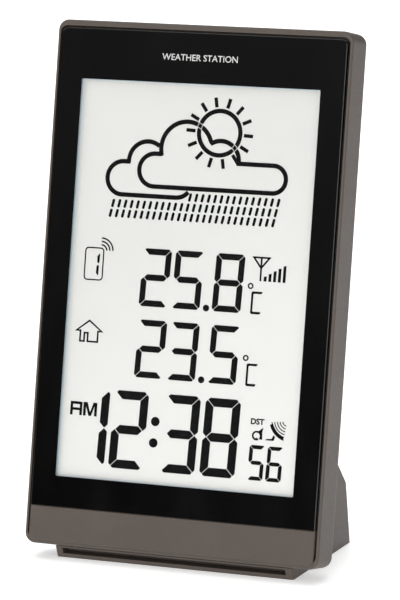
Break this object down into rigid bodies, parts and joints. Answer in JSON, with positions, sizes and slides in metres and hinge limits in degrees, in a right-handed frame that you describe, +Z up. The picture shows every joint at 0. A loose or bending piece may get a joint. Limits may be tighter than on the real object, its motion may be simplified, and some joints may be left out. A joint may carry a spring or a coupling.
{
  "type": "home weather station",
  "caption": "Slim portrait weather display leaning back in a removable desk stand, with rear battery door, keys and wall keyhole.",
  "frame": {"origin": "centre of the desk stand's flat underside, on the table", "axes": "+Z up, -Y towards the viewer of the display, +X to the viewer's right"},
  "size_m": [0.0884, 0.0513, 0.1501],
  "materials": {
    "black_gloss": "glossy, printed black behind a clear face",
    "tape_black": "matt",
    "grey_shell": "fine satin moulded plastic, warm grey",
    "key_grey": "satin moulded plastic",
    "cell_jacket": "printed foil jacket, plain",
    "spring_steel": "nickel plated",
    "polariser": "anti-glare film",
    "display_glass": "clear",
    "display_back": "light reflective film",
    "zebra_rubber": "matt silicone",
    "white_plastic": "satin",
    "circuit_board": "solder mask, satin",
    "epoxy_black": "semi-gloss",
    "capacitor_sleeve": "shrink sleeve",
    "ferrite": "sintered, matt",
    "copper": "enamelled wire",
    "brass": "rolled",
    "ceramic": "silvered ceramic",
    "screw_steel": "zinc plated",
    "lead_sleeve": "PVC sleeve"
  },
  "bodies": {
    "case": {"aerial_coil": "copper", "aerial_leads": "copper", "battery_cells": "cell_jacket", "battery_contacts": "spring_steel", "battery_leads": "lead_sleeve", "battery_springs": "spring_steel", "board_screws": "screw_steel", "buzzer_element": "ceramic", "buzzer_leads": "lead_sleeve", "buzzer_plate": "brass", "case_screws": "screw_steel", "case_shell": "grey_shell", "chip_resistors": "epoxy_black", "clock_crystal": "spring_steel", "controller_chip": "epoxy_black", "ferrite_rod": "ferrite", "frame_screws": "screw_steel", "front_frame": "grey_shell", "front_lens": "black_gloss", "front_polariser": "polariser", "holder_screws": "screw_steel", "lcd_front_glass": "display_glass", "lcd_holder": "white_plastic", "lcd_rear_glass": "display_glass", "lens_tape": "tape_black", "main_board": "circuit_board", "rear_cover": "grey_shell", "receiver_board": "circuit_board", "receiver_chip": "epoxy_black", "receiver_pins": "brass", "reflector": "display_back", "rod_clips": "white_plastic", "supply_capacitor": "capacitor_sleeve", "switch_bases": "epoxy_black", "temperature_sensor": "epoxy_black", "zebra_strip": "zebra_rubber"},
    "battery_door": {"battery_door": "grey_shell"},
    "desk_stand": {"stand_plate": "grey_shell", "stand_screws": "screw_steel", "stand_shell": "grey_shell"},
    "key_set": {"key_set": "key_grey", "stem_set": "epoxy_black"},
    "key_minus": {"key_minus": "key_grey", "stem_minus": "epoxy_black"},
    "key_plus": {"key_plus": "key_grey", "stem_plus": "epoxy_black"},
    "key_channel": {"key_channel": "key_grey", "stem_channel": "epoxy_black"},
    "key_alarm": {"key_alarm": "key_grey", "stem_alarm": "epoxy_black"}
  },
  "joints": [
    {"name": "stand_slide", "type": "slide", "parent": "case", "child": "desk_stand", "axis": [0, -0.1805, -0.9836], "range_m": [0, 0.05]},
    {"name": "door_slide", "type": "slide", "parent": "case", "child": "battery_door", "axis": [0, 0.1805, 0.9836], "range_m": [0, 0.026]},
    {"name": "press_set", "type": "slide", "parent": "case", "child": "key_set", "axis": [0, -0.9836, 0.1805], "range_m": [0, 0.0005], "stiffness_N_per_m": 1500, "springref_m": -0.0002},
    {"name": "press_minus", "type": "slide", "parent": "case", "child": "key_minus", "axis": [0, -0.9836, 0.1805], "range_m": [0, 0.0005], "stiffness_N_per_m": 1500, "springref_m": -0.0002},
    {"name": "press_plus", "type": "slide", "parent": "case", "child": "key_plus", "axis": [0, -0.9836, 0.1805], "range_m": [0, 0.0005], "stiffness_N_per_m": 1500, "springref_m": -0.0002},
    {"name": "press_channel", "type": "slide", "parent": "case", "child": "key_channel", "axis": [0, -0.9836, 0.1805], "range_m": [0, 0.0005], "stiffness_N_per_m": 1500, "springref_m": -0.0002},
    {"name": "press_alarm", "type": "slide", "parent": "case", "child": "key_alarm", "axis": [0, -0.9836, 0.1805], "range_m": [0, 0.0005], "stiffness_N_per_m": 1500, "springref_m": -0.0002}
  ]
}
